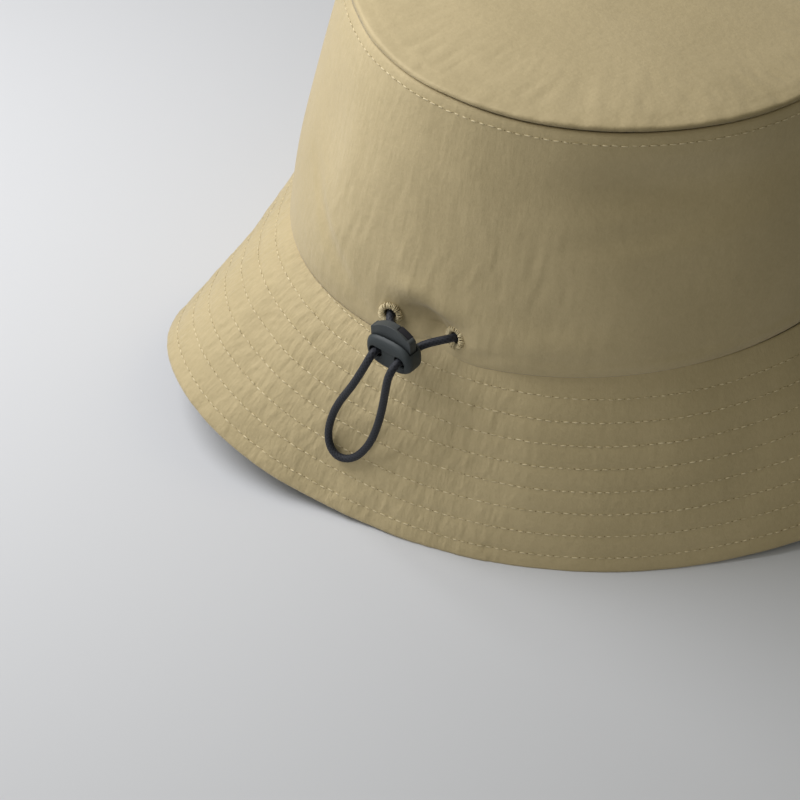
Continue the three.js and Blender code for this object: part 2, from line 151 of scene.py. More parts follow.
# Layers of wrinkles: cell along and cell across in millimetres, seed, drift and warp
BRIM_FINE = (1.5, 5.5, 11, 0.12, 1.2)
BRIM_MIDDLE = (3.4, 9, 23, 0.25, 1.5)
BRIM_CROSSING = (4.6, 13, 37, -0.1, 1.5)
BRIM_BROAD = (11, 34, 51, 0.1, 0.8)
CROWN_FINE = (2.2, 9, 111, -0.1, 1.0)
CROWN_MIDDLE = (5.5, 22, 123, -0.15, 1.0)
CROWN_BROAD = (24, 30, 137, 0.2, 0.6)
TOP_PUCKERS = (4.2, 12, 211, 0.1, 1.0)
BAND_RIPPLE = (9, 20, 311, 0.1, 0.6)

# Relief of the brim's cloth in millimetres: between the rows, at the rows, and the rows' half width
PUFF_HEIGHT = 0.26
ROW_DEPTH = 0.19
ROW_HALF_WIDTH = 1.3

# The knot that pulls the cloth in where the outermost row ends: turn, half turn, half share, depth
TACK_TURN = 113.4
TACK_HALF_TURN = 1.3
TACK_HALF_SHARE = 0.02
TACK_DEPTH = 0.45

# Soft folds of the crown's side: height in millimetres, turn, half turn, rise, half rise, how far
# the turn leans with the rise, and how far the rise climbs with the turn
SOFT_FOLDS = [
    (0.9, 92, 6, 0.2, 0.1, 0, 0),
    (1.8, 98, 7, 0.17, 0.08, 0, 0),
    (-0.9, 69.48, 5, 0.24, 0.24, -66, 0),
    (-0.8, 107.5, 4.5, 0.05, 0.045, 0, 0),
    (-2.2, 97.4, 3.4, 0.056, 0.05, 0, 0),
    (-1.1, 136, 24, 0.6, 0.09, 0, 0.002),
]

# The brim's rolled hem, from below to its face: millimetres in from the rim, and lift
BRIM_HEM = np.array([(0.25, -0.98), (0, -0.75), (0.1, -0.4), (0.5, -0.12)])

# How the crown's side is tucked in at its foot and its top, in millimetres
TUCK_HEIGHT = 1.6
FOOT_TUCK = 0.3
FOOT_DROP = 0.32
TOP_TUCK = 0.5

# Where the hat's own middle lies in the shared frame
top_low, top_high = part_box("crown_top")
HAT_MIDDLE = np.array([(top_low.x + top_high.x) / 2, (top_low.y + top_high.y) / 2, 0]) / MM


# Camera, first of all, at the photograph's angle
CAMERA_AZIMUTH = 219
CAMERA_ELEVATION = 44.35
CAMERA_ROLL = 1.878
CAMERA_DISTANCE = 658.844
CAMERA_RIGHT = 63.678
CAMERA_UP = 54.761
CAMERA_AIM_HEIGHT = 33.52
CAMERA_LENS = 90
CAMERA_SENSOR = 36


def camera_axes():
    """The camera's right, up and backward directions in the shared frame."""
    azimuth = math.radians(CAMERA_AZIMUTH)
    elevation = math.radians(CAMERA_ELEVATION)
    back = Vector((
        math.sin(azimuth) * math.cos(elevation),
        -math.cos(azimuth) * math.cos(elevation),
        math.sin(elevation),
    ))
    level = (-back).cross(Vector((0, 0, 1))).normalized()
    upright = level.cross(-back)
    roll = math.radians(CAMERA_ROLL)
    right = level * math.cos(roll) + upright * math.sin(roll)
    up = upright * math.cos(roll) - level * math.sin(roll)
    return right, up, back


def add_camera():
    right, up, back = camera_axes()
    aim = Vector(HAT_MIDDLE) + Vector((0, 0, CAMERA_AIM_HEIGHT))
    place = aim + back * CAMERA_DISTANCE - right * CAMERA_RIGHT - up * CAMERA_UP
    data = bpy.data.cameras.new("camera")
    data.lens = CAMERA_LENS
    data.sensor_width = CAMERA_SENSOR
    data.clip_start = 0.01
    data.clip_end = 20
    camera = bpy.data.objects.new("camera", data)
    turn = Matrix((right, up, back)).transposed().to_4x4()
    camera.matrix_world = Matrix.Translation(place * MM) @ turn
    bpy.context.scene.collection.objects.link(camera)
    bpy.context.scene.camera = camera


add_camera()


# Arrays of points in millimetres in the hat's own frame

def periodic(values, turn):
    """A smooth value at a turn in degrees, from even stations all the way round."""
    count = len(values)
    place = np.mod(np.asarray(turn, float) / 360, 1) * count
    index = np.floor(place).astype(int)
    part = place - index
    before, here, after, last = (values[(index + step) % count] for step in (-1, 0, 1, 2))
    bend = 2 * before - 5 * here + 4 * after - last
    twist = 3 * (here - after) + last - before
    return here + 0.5 * part * (after - before + part * (bend + part * twist))


def seam(turn):
    """The seam oval at a turn: x, y and the outward direction."""
    angle = np.radians(turn)
    across = HEAD_WIDTH / 2
    along = HEAD_LENGTH / 2
    out_x = np.cos(angle) / across
    out_y = np.sin(angle) / along
    size = np.hypot(out_x, out_y)
    return across * np.cos(angle), along * np.sin(angle), out_x / size, out_y / size


def brim_fall(turn, share):
    """How far out and down the brim's face is at a share of its width, and its slope."""
    flare = math.radians(BRIM_FLARE)
    start = np.radians(periodic(BRIM_SLOPES, turn)) - flare
    end = start + 2 * flare * share
    out = BRIM_WIDTH * (np.sin(end) - np.sin(start)) / (2 * flare)
    drop = BRIM_WIDTH * (np.cos(start) - np.cos(end)) / (2 * flare)
    return out, drop, end


SEAM_HEIGHT = brim_fall(np.arange(360), 1.0)[1].max() - RIM_PRESS


def offset(turn, out, height):
    x, y, out_x, out_y = seam(turn)
    height = np.broadcast_to(height, np.broadcast(turn, out, height).shape)
    return np.stack([x + out_x * out, y + out_y * out, height], axis=-1)


def brim_point(turn, share, lift):
    out, drop, slope = brim_fall(turn, share)
    height = SEAM_HEIGHT - drop + lift * np.cos(slope)
    return offset(turn, out + lift * np.sin(slope), np.maximum(height, 0))


def brim_normal(turn, share):
    _, _, slope = brim_fall(turn, share)
    _, _, out_x, out_y = seam(turn)
    return np.stack([out_x * np.sin(slope), out_y * np.sin(slope), np.cos(slope)], axis=-1)


def above_brim(turn, out):
    """The height just clear of the brim's outer face, at a distance out from the seam."""
    flare = math.radians(BRIM_FLARE)
    start = np.radians(periodic(BRIM_SLOPES, turn)) - flare
    end = np.arcsin(np.sin(start) + 2 * flare * np.maximum(out, 0) / BRIM_WIDTH)
    drop = BRIM_WIDTH * (np.cos(start) - np.cos(end)) / (2 * flare)
    return SEAM_HEIGHT - drop + GAP / np.cos(end)


def hump(distance, half):
    """A smooth hump: 1 at its centre, 0 from its half size outwards."""
    inside = np.abs(distance) < half
    return np.where(inside, np.cos(np.pi / 2 * distance / half) ** 2, 0)


def turn_between(a, b):
    return np.mod(a - b + 180, 360) - 180


def crown_shape(turn, rise):
    swell = rise * CROWN_HEIGHT / CROWN_SWELL_RISE
    out = CROWN_SWELL * swell * np.exp(1 - swell) - CROWN_LEAN * rise ** CROWN_LEAN_CURVE
    for fold_turn, fold_rise, half_turn, half_rise, depth in CROWN_FOLDS:
        across = hump(turn_between(turn, fold_turn), half_turn)
        out = out - depth * CROWN_HEIGHT * across * hump(rise - fold_rise, half_rise)
    return out


def crown_point(turn, rise, inset):
    pouch = brim_fall(turn, periodic(BRIM_POUCHES, turn))[0]
    foot = above_brim(turn, pouch + crown_shape(turn, 0.0) - inset) - SEAM_HEIGHT
    out = pouch * (1 - rise) + crown_shape(turn, rise) - inset
    return offset(turn, out, SEAM_HEIGHT + CROWN_HEIGHT * rise + foot * (1 - rise) ** 2)


def unit(vectors):
    return vectors / np.linalg.norm(vectors, axis=-1, keepdims=True)


def crown_normal(turn, rise):
    along = crown_point(turn + 0.5, rise, 0) - crown_point(turn - 0.5, rise, 0)
    low = np.clip(rise - 0.01, 0, 1)
    high = np.clip(rise + 0.01, 0, 1)
    up = crown_point(turn, high, 0) - crown_point(turn, low, 0)
    return unit(np.cross(along, up))


def band_point(turn, height, inset):
    rise = np.maximum(height, 0) / CROWN_HEIGHT
    lean = CROWN_LEAN * rise ** CROWN_LEAN_CURVE
    casing = CASING_DEPTH * hump(turn_between(turn, CASING_TURN), CASING_HALF_TURN)
    return offset(turn, -BRIM_WALL - GAP - lean - casing - inset, SEAM_HEIGHT + height)


# Noise that closes on itself round the hat

def noise(x, y, seed, wrap):
    """Smooth noise from -1 to 1 on whole-number cells, the same again after wrap cells of x."""
    rows = 256
    cells = np.random.default_rng(seed).uniform(-1, 1, (wrap, rows))
    left = np.floor(x).astype(int)
    low = np.floor(y).astype(int)
    part_x = x - left
    part_y = y - low
    part_x = part_x ** 3 * (part_x * (part_x * 6 - 15) + 10)
    part_y = part_y ** 3 * (part_y * (part_y * 6 - 15) + 10)
    bottom_left = cells[left % wrap, low % rows]
    bottom_right = cells[(left + 1) % wrap, low % rows]
    top_left = cells[left % wrap, (low + 1) % rows]
    top_right = cells[(left + 1) % wrap, (low + 1) % rows]
    bottom = bottom_left + (bottom_right - bottom_left) * part_x
    top = top_left + (top_right - top_left) * part_x
    return bottom + (top - bottom) * part_y


def wrinkles(along, across, girth, cell, length, seed, drift=0.0, warp=0.0):
    """Noise drawn out across a band of cloth: cells in millimetres along it and across it."""
    wrap = max(int(round(girth / cell)), 4)
    bend = warp * noise(along / girth * (wrap // 4), across / (2 * length) + 40, seed + 1, wrap // 4)
    x = (along + drift * across) / girth * wrap + bend
    return noise(x, across / length + 60, seed, wrap)


def ridge(value):
    """Turns smooth noise into soft ridges with narrow creases between them."""
    return 1 - 2 * np.sqrt(value ** 2 + 0.01)


def smooth_step(value, low, high):
    part = np.clip((value - low) / (high - low), 0, 1)
    return part * part * (3 - 2 * part)


def window(value, start, full, ending, end):
    """1 between two values, with a soft start and a soft end."""
    return smooth_step(value, start, full) * (1 - smooth_step(value, ending, end))


# Length along the middle of the brim at each turn, so that cells of noise are even
table_turns = np.linspace(0, 360, 1441)
table_points = brim_point(table_turns, 0.55, 0.0)
table_steps = np.linalg.norm(np.diff(table_points, axis=0), axis=1)
table_lengths = np.concatenate([[0], np.cumsum(table_steps)])
BRIM_GIRTH = table_lengths[-1]


def brim_length(turn):
    whole = np.floor(np.asarray(turn, float) / 360)
    return np.interp(np.mod(turn, 360), table_turns, table_lengths) + whole * BRIM_GIRTH


CROWN_GIRTH = np.pi * HEAD_LENGTH


def row_distance(share):
    """Millimetres to the nearest stitched row, and the number of the channel between rows."""
    distance = np.min(np.abs(np.subtract.outer(share, ROWS)), axis=-1) * BRIM_WIDTH
    return distance, np.searchsorted(ROWS, share)


def brim_relief(turn, share):
    """How far the brim's cloth stands off its plain shape, in millimetres."""
    turn = np.mod(turn, 360)
    along = brim_length(turn)
    across = share * BRIM_WIDTH
    distance, channel = row_distance(share)
    puff = 1 - np.exp(-(distance / ROW_HALF_WIDTH) ** 2)
    strength = 0.22 + 0.78 * window(turn, *BRIM_PUCKERS) + 0.4 * window(turn, *FRONT_PUCKERS)
    fine = wrinkles(along, across, BRIM_GIRTH, *BRIM_FINE)
    # Each channel between rows reads another part of the noise
    middle = ridge(wrinkles(along, across + 37 * channel, BRIM_GIRTH, *BRIM_MIDDLE))
    crossing = ridge(wrinkles(along, across, BRIM_GIRTH, *BRIM_CROSSING))
    broad = wrinkles(along, across, BRIM_GIRTH, *BRIM_BROAD)
    relief = PUFF_HEIGHT * puff - ROW_DEPTH
    relief = relief + strength * (0.08 * fine + 0.15 * middle * puff + 0.11 * crossing)
    relief = relief + 0.4 * (0.4 + 0.6 * strength) * broad
    tack = np.hypot(turn_between(turn, TACK_TURN) / TACK_HALF_TURN, (share - LAST_ROW) / TACK_HALF_SHARE)
    return relief * smooth_step(across, 4, 9) - TACK_DEPTH * np.exp(-tack ** 2)


def brim_skin(turn, share):
    """The brim's finished outer face."""
    points = brim_point(turn, share, 0.0)
    points = points + brim_normal(turn, share) * brim_relief(turn, share)[..., None]
    points[..., 2] = np.maximum(points[..., 2], 0.15)
    return points


def brim_under_skin(turn, share):
    """The brim's finished underside, drawn in along the rows."""
    relief = brim_relief(turn, share) * smooth_step(1 - share, 0, 0.03)
    distance, _ = row_distance(share)
    drawn = 0.3 * np.exp(-(distance / ROW_HALF_WIDTH) ** 2) * smooth_step(share, 0.06, 0.12)
    points = brim_point(turn, share, -BRIM_WALL)
    points = points + brim_normal(turn, share) * (0.5 * relief + drawn)[..., None]
    points[..., 2] = np.maximum(points[..., 2], 0.0)
    return points


# Making meshes

def select_only(piece):
    bpy.ops.object.select_all(action="DESELECT")
    piece.select_set(True)
    bpy.context.view_layer.objects.active = piece


def add_shape(name, operator, **settings):
    """The piece that one of Blender's own shapes makes, under its own name."""
    bpy.ops.object.select_all(action="DESELECT")
    operator(**settings)
    piece = bpy.context.active_object
    piece.name = name
    piece.data.name = name
    return piece


def face_outwards(piece, weld=0.0):
    """Turns all faces outwards, once points closer together than weld are joined."""
    select_only(piece)
    bpy.ops.object.mode_set(mode="EDIT")
    bpy.ops.mesh.select_all(action="SELECT")
    if weld:
        bpy.ops.mesh.remove_doubles(threshold=weld)
    bpy.ops.mesh.normals_make_consistent(inside=False)
    bpy.ops.object.mode_set(mode="OBJECT")


def apply_modifier(piece, kind, **settings):
    """Adds a modifier, sets it and applies it."""
    select_only(piece)
    modifier = piece.modifiers.new(kind.lower(), kind)
    for key, value in settings.items():
        setattr(modifier, key, value)
    bpy.ops.object.modifier_apply(modifier=modifier.name)


def cut_away(piece, cutter):
    apply_modifier(piece, "BOOLEAN", object=cutter, operation="DIFFERENCE", solver="EXACT")
    bpy.data.objects.remove(cutter)


def to_frame(points):
    """Millimetres in the hat's frame to metres in the shared frame."""
    return (np.asarray(points) + HAT_MIDDLE) * MM


def set_places(piece, points):
    piece.data.vertices.foreach_set("co", np.ascontiguousarray(points, np.float32).ravel())
    piece.data.update()


def places_of(mesh):
    places = np.empty(len(mesh.vertices) * 3)
    mesh.vertices.foreach_get("co", places)
    return places.reshape(-1, 3)


def numbers_of(items, field):
    """One whole number of each of a mesh's corners or faces."""
    numbers = np.empty(len(items), np.int64)
    items.foreach_get(field, numbers)
    return numbers


def fill_map(mesh, layer, values):
    """Fills a map from one pair of values for each point of the mesh."""
    corners = numbers_of(mesh.loops, "vertex_index")
    layer.data.foreach_set("uv", values.reshape(-1, 2)[corners].astype(np.float32).ravel())


def sheet_piece(name, points, map_name, along, across):
    """A closed skin, shaped from a grid: points has a loop of places at each step along."""
    steps, size = points.shape[:2]
    piece = add_shape(
        name, bpy.ops.mesh.primitive_grid_add,
        x_subdivisions=size - 1, y_subdivisions=steps - 1, size=1,
    )
    set_places(piece, points.reshape(-1, 3))
    values = np.stack(np.broadcast_arrays(along[:, None], across[None, :]), axis=-1)
    fill_map(piece.data, piece.data.uv_layers.new(name=map_name), values)
    face_outwards(piece, weld=1e-7)
    bpy.ops.object.shade_smooth()
    return piece


def ring_piece(name, points, along, across):
    """A closed ring of cloth: a loop of places at each turn, in millimetres in the hat's frame."""
    for axis in (0, 1):
        points = np.concatenate([points, np.take(points, [0], axis=axis)], axis=axis)
    return sheet_piece(name, to_frame(points), "cloth_map", along, across)


def copies(name, template, frames):
    """One mesh made of many copies of a template, one for each frame of 4 by 4 numbers."""
    count = len(frames)
    places = places_of(template.data)
    places = np.concatenate([places, np.ones((len(places), 1))], axis=1)
    corners = numbers_of(template.data.loops, "vertex_index")
    starts = numbers_of(template.data.polygons, "loop_start")
    spread = np.einsum("nij,vj->nvi", frames, places)[..., :3]
    number = np.arange(count)[:, None]
    made = bpy.data.meshes.new(name)
    made.vertices.add(count * len(places))
    made.loops.add(count * len(corners))
    made.polygons.add(count * len(starts))
    made.vertices.foreach_set("co", spread.astype(np.float32).ravel())
    made.loops.foreach_set("vertex_index", (corners + number * len(places)).astype(np.int32).ravel())
    made.polygons.foreach_set("loop_start", (starts + number * len(corners)).astype(np.int32).ravel())
    made.update(calc_edges=True)
    made.validate()
    piece = bpy.data.objects.new(name, made)
    bpy.context.scene.collection.objects.link(piece)
    bpy.data.objects.remove(template)
    select_only(piece)
    bpy.ops.object.shade_smooth()
    return piece


def turns_for(fine_step, plain_step):
    """Turns in degrees all the way round, closer together where the wrinkles are fine."""
    turn = 0.0
    turns = []
    while turn < 360:
        turns.append(turn)
        turn += plain_step + (fine_step - plain_step) * window(turn, *FINE_MESH)
    return np.array(turns) * 360 / turn


def add_brim_upper():
    turns = turns_for(0.27, 0.48)
    grid = turns[:, None]
    face = np.linspace(1 - 1.2 / BRIM_WIDTH, 0, 92)
    hem_shares = 1 - BRIM_HEM[:, 0] / BRIM_WIDTH
    hem_lifts = BRIM_HEM[:, 1]
    back_shares = np.array([0.0, 0.5, 0.97])
    hem = brim_point(grid, hem_shares[None, :], hem_lifts[None, :])
    hem_relief = brim_relief(grid, np.full((1, 1), face[0]))
    hem = hem + brim_normal(grid, hem_shares[None, :]) * (hem_relief * (1 + hem_lifts))[..., None]
    hem[..., 2] = np.maximum(hem[..., 2], 0.02 - 0.12 * hem_lifts)
    back = brim_point(grid, back_shares[None, :], -0.9)
    points = np.concatenate([hem, brim_skin(grid, face[None, :]), back], axis=1)
    across = np.concatenate([
        BRIM_WIDTH + np.array([1.2, 0.9, 0.6, 0.3]),
        face * BRIM_WIDTH,
        -2 - back_shares * BRIM_WIDTH,
        [BRIM_WIDTH + 1.2],
    ])
    return ring_piece("brim_upper_cloth", points, np.append(brim_length(turns), BRIM_GIRTH), across)


def add_brim_lower():
    turns = turns_for(0.5, 0.6)
    grid = turns[:, None]
    face = np.linspace(0, 1 - 0.8 / BRIM_WIDTH, 62)
    back_shares = np.array([0.985, 0.5, 0.0])
    back = brim_point(grid, back_shares[None, :], -1.0)
    under = brim_under_skin(grid, np.broadcast_to(face[None, :], (len(turns), len(face))))
    points = np.concatenate([back, under], axis=1)
    across = np.concatenate([-2 - back_shares * BRIM_WIDTH, face * BRIM_WIDTH, [BRIM_WIDTH + 1]])
    return ring_piece("brim_lower_cloth", points, np.append(brim_length(turns), BRIM_GIRTH), across)


def bead_frames(skin, normal, turn_ends, seed, size, lift):
    """Frames for a row of beads on a skin between pairs of turns: size is length, width, height."""
    start, end = turn_ends
    draw = np.random.default_rng(seed)
    count = len(start)
    along = unit(skin(end) - skin(start))
    up = normal((start + end) / 2)
    side = unit(np.cross(up, along))
    along = unit(along + side * draw.normal(0, 0.05, count)[:, None])
    side = unit(np.cross(up, along))
    up = np.cross(along, side)
    place = skin((start + end) / 2) + up * (lift + draw.normal(0, 0.03, count))[:, None]
    place = place + side * draw.normal(0, 0.06, count)[:, None]
    place[..., 2] = np.maximum(place[..., 2], BEAD_FLOOR)
    length = size[0] * draw.uniform(0.72, 1.08, count)[:, None]
    frames = np.zeros((count, 4, 4))
    # The bead's poles lie along the stitch
    frames[:, :3, 0] = side * size[1] / 2 * MM
    frames[:, :3, 1] = up * size[2] / 2 * MM
    frames[:, :3, 2] = along * length / 2 * MM
    frames[:, :3, 3] = to_frame(place)
    frames[:, 3, 3] = 1
    return frames


def even_turns(points_at, pitch, seed):
    """Turns that cut a closed line into even steps of about one pitch."""
    fine = np.linspace(0, 360, 2881)
    points = points_at(fine)
    steps = np.linalg.norm(np.diff(points, axis=0), axis=1)
    lengths = np.concatenate([[0], np.cumsum(steps)])
    count = int(round(lengths[-1] / pitch))
    draw = np.random.default_rng(seed)
    places = (np.arange(count) + draw.uniform(0, 1)) * lengths[-1] / count
    half = lengths[-1] / count / 2
    start = np.interp(np.mod(places - half, lengths[-1]), lengths, fine)
    end = np.interp(np.mod(places + half, lengths[-1]), lengths, fine)
    end = np.where(end < start, end + 360, end)
    return start, end


def stitch_row(skin, normal, seed):
    """One closed row of stitches, and dark beads between them that paint the shade in the needle holes."""
    start, end = even_turns(skin, STITCH_PITCH, seed)
    half = (end - start) / 2
    stitches = bead_frames(skin, normal, (start, end), seed + 20, STITCH_SIZE, STITCH_LIFT)
    hole_shades = bead_frames(skin, normal, (start - half, start + half), seed + 40, HOLE_SHADE_SIZE, 0.0)
    return stitches, hole_shades


def held(face, share, sign=1):
    """A face's places or normals as a function of the turn alone, at one share of its width."""
    def at(turn):
        return sign * face(turn, np.full(np.shape(turn), share))
    return at


def brim_rows():
    """The rows on the brim's upper side and on its underside."""
    rows = []
    for number, share in enumerate(ROWS):
        rows.append(stitch_row(held(brim_skin, share), held(brim_normal, share), 70 + number))
        rows.append(stitch_row(held(brim_under_skin, share), held(brim_normal, share, -1), 170 + number))
    return rows


def crown_rows():
    """The row under the crown's top seam, and the row that holds the inner band's hem."""
    high = 1 - TOP_SEAM_DROP / CROWN_HEIGHT

    def band(turn):
        return band_point(turn, BAND_HEM, BAND_WALL - 0.05)

    def inward(turn):
        _, _, out_x, out_y = seam(turn)
        return np.stack([-out_x, -out_y, np.zeros(np.shape(turn))], axis=-1)
    return [
        stitch_row(held(crown_skin, high), held(crown_normal, high), 271),
        stitch_row(band, inward, 273),
    ]


def add_beads(name, rows, rings):
    """Beads for stitches, and dark beads that paint the shade in needle holes: small long beads, more finely
    made with more rings.
    """
    bead = add_shape("bead", bpy.ops.mesh.primitive_uv_sphere_add, segments=5, ring_count=rings, radius=1)
    return copies(name, bead, np.concatenate(rows))


def crown_relief(turn, rise):
    """How far the crown's cloth stands off its plain shape, in millimetres."""
    turn = np.mod(turn, 360)
    along = np.radians(turn) * HEAD_LENGTH / 2
    across = rise * CROWN_HEIGHT
    strength = 0.2 + 0.8 * window(turn, *CROWN_PUCKERS) * (1 - smooth_step(rise, 0.35, 0.75))
    fine = wrinkles(along, across, CROWN_GIRTH, *CROWN_FINE)
    middle = wrinkles(along, across, CROWN_GIRTH, *CROWN_MIDDLE)
    broad = wrinkles(along, across, CROWN_GIRTH, *CROWN_BROAD)
    relief = (strength * (0.11 * fine + 0.14 * middle) + 0.55 * broad) * smooth_step(across, 1, 6)
    for height, fold_turn, half_turn, fold_rise, half_rise, lean, climb in SOFT_FOLDS:
        beside = turn_between(turn, fold_turn + lean * (rise - fold_rise))
        above = rise - fold_rise - climb * beside
        relief = relief + height * hump(beside, half_turn) * hump(above, half_rise)
    return relief + 0.35 * window(turn, *FOOT_ROLL) * hump(across - 3.4, 3)


def crown_skin(turn, rise):
    points = crown_point(turn, rise, 0.0)
    return points + crown_normal(turn, rise) * crown_relief(turn, rise)[..., None]


def add_crown_side():
    turns = turns_for(0.4, 0.6)
    grid = turns[:, None]
    rises = np.linspace(0, 1, 84) ** 1.15
    heights = rises * CROWN_HEIGHT
    skin = crown_skin(grid, rises[None, :])
    inward = -crown_normal(grid, rises[None, :])
    foot = 1 - smooth_step(heights, 0, TUCK_HEIGHT)
    top = smooth_step(heights, CROWN_HEIGHT - TUCK_HEIGHT, CROWN_HEIGHT)
    skin[..., 2] -= FOOT_DROP * foot[None, :]
    skin = skin + inward * (FOOT_TUCK * foot + TOP_TUCK * top)[None, :, None]
    inner_rises = np.linspace(1, 0, 16)
    inner = crown_point(grid, inner_rises[None, :], CROWN_WALL)
    relief = np.minimum(crown_relief(grid, inner_rises[None, :]), 0.3)
    inner = inner + crown_normal(grid, inner_rises[None, :]) * relief[..., None]
    points = np.concatenate([skin, inner], axis=1)
    across = np.concatenate([heights, CROWN_HEIGHT + 2 + (1 - inner_rises) * CROWN_HEIGHT, [-2]])
    along = np.append(np.radians(turns), 2 * np.pi) * HEAD_LENGTH / 2
    piece = ring_piece("crown_side_cloth", points, along, across)
    for turn, rise in EYELETS.values():
        cutter = add_shape(
            "eyelet_cutter", bpy.ops.mesh.primitive_cylinder_add,
            vertices=32, radius=EYELET_HOLE_RADIUS + 0.3, depth=8,
        )
        cutter.data.transform(eyelet_matrix(turn, rise))
        cut_away(piece, cutter)
    return piece


def eyelet_matrix(turn, rise):
    """A frame on the crown's outer face, with Z outwards, in the shared frame."""
    rise = np.array(rise)
    out = crown_normal(np.array(turn), rise)
    along = unit(crown_point(np.array(turn + 0.5), rise, 0.0) - crown_point(np.array(turn - 0.5), rise, 0.0))
    made = np.eye(4)
    made[:3, 0] = along * MM
    made[:3, 1] = np.cross(out, along) * MM
    made[:3, 2] = out * MM
    made[:3, 3] = to_frame(crown_point(np.array(turn), rise, 0.0))
    return Matrix(made.tolist())


def add_crown_top():
    """The top panel: a flattened sphere whose upper half is the outer face."""
    piece = add_shape(
        "crown_top_cloth", bpy.ops.mesh.primitive_uv_sphere_add, segments=360, ring_count=96, radius=1,
    )
    places = places_of(piece.data)
    polar = np.arccos(np.clip(places[:, 2], -1, 1)) / (np.pi / 2)
    turn = np.degrees(np.arctan2(places[:, 1], places[:, 0]))
    upper = polar <= 1
    share = np.where(upper, polar, 2 - polar)
    rim = np.full(len(turn), 1.0)
    edge = offset(turn, -CROWN_LEAN, 0.0) + crown_normal(turn, rim) * crown_relief(turn, rim)[:, None]
    floor = SEAM_HEIGHT + CROWN_HEIGHT + GAP
    dome = TOP_DOME * (1 - share ** 2)
    radius = share * HEAD_LENGTH / 2
    rim_fall = 0.9 * smooth_step(radius, HEAD_LENGTH / 2 - 1.8, HEAD_LENGTH / 2) ** 2
    along = np.radians(np.mod(turn, 360)) * HEAD_LENGTH / 2
    puckers = 0.18 * smooth_step(radius, 55, 90) * ridge(wrinkles(along, radius, CROWN_GIRTH, *TOP_PUCKERS))
    soft = 0.5 * noise(edge[:, 0] * share / 22 + 40, edge[:, 1] * share / 22 + 40, 223, 128)
    groove = 0.25 * np.exp(-((radius - (HEAD_LENGTH / 2 - 4.2)) / 1.1) ** 2)
    relief = puckers + soft * (1 - 0.6 * share ** 4) - groove
    outside = np.maximum(floor + CROWN_WALL + dome + relief - rim_fall, floor + dome + 0.55)
    inside = np.minimum(floor + dome + soft, floor + dome + 0.4)
    height = np.where(upper, outside, inside)
    points = np.stack([edge[:, 0] * share, edge[:, 1] * share, height], axis=-1)
    set_places(piece, to_frame(points))
    layer = piece.data.uv_layers.active
    layer.name = "cloth_map"
    fill_map(piece.data, layer, points[:, :2])
    face_outwards(piece)
    bpy.ops.object.shade_smooth()
    return piece


def add_band():
    turns = turns_for(0.7, 0.9)
    grid = turns[:, None]
    heights = np.linspace(-BAND_DROP, BAND_HEIGHT, 30)
    low = (BAND_DROP + heights) / (BAND_DROP + BAND_HEIGHT)
    outside = band_point(grid, heights[None, :], 0.0)
    along = np.radians(turns) * HEAD_LENGTH / 2
    ripple = wrinkles(along[:, None], heights[None, :], CROWN_GIRTH, *BAND_RIPPLE)
    hem = np.exp(-((heights - BAND_HEM) / 0.9) ** 2)
    roll = 0.3 * np.sin(np.pi * np.clip(low, 0, 1)) ** 0.5
    inset = BAND_WALL + 0.18 * ripple + (roll - 0.3 * hem)[None, :]
    inside = band_point(grid, heights[None, :], inset)
    points = np.concatenate([outside[:, ::9], inside[:, ::-1]], axis=1)
    across = np.concatenate([heights[::9], 60 - heights[::-1], [90]])
    return ring_piece("inner_band_cloth", points, np.append(along, CROWN_GIRTH), across)


# The drawcord

def between(first, last, start, end, at):
    return ((end - at) * first + (at - start) * last) / (end - start)


def smooth_path(points, steps):
    """Centripetal curve through the points, with the same number of steps in each span."""
    points = np.asarray(points, float)
    padded = np.vstack([2 * points[0] - points[1], points, 2 * points[-1] - points[-2]])
    made = []
    for index in range(len(points) - 1):
        near = padded[index:index + 4]
        knots = np.append(0, np.cumsum(np.linalg.norm(np.diff(near, axis=0), axis=1) ** 0.5))
        for at in np.linspace(knots[1], knots[2], steps, endpoint=False):
            lines = [between(near[k], near[k + 1], knots[k], knots[k + 1], at) for k in range(3)]
            bends = [between(lines[k], lines[k + 1], knots[k], knots[k + 2], at) for k in range(2)]
            made.append(between(*bends, knots[1], knots[2], at))
    made.append(points[-1])
    return np.array(made)


def even_path(points, step):
    lengths = np.concatenate([[0], np.cumsum(np.linalg.norm(np.diff(points, axis=0), axis=1))])
    count = int(round(lengths[-1] / step)) + 1
    places = np.linspace(0, lengths[-1], count)
    path = np.stack([np.interp(places, lengths, points[:, axis]) for axis in range(3)], axis=-1)
    return path, places


def carried_frames(path):
    """A side and an up direction at each point of a path, turning no more than the path does."""
    ahead = unit(np.gradient(path, axis=0))
    side = unit(np.cross(ahead[0], [0.3, 0.2, 1.0]))
    sides = [side]
    for here in ahead[1:]:
        side = unit(side - here * np.dot(side, here))
        sides.append(side)
    sides = np.array(sides)
    return sides, np.cross(ahead, sides)


CORD_SIDES = 32
BRAID_STRANDS = 6


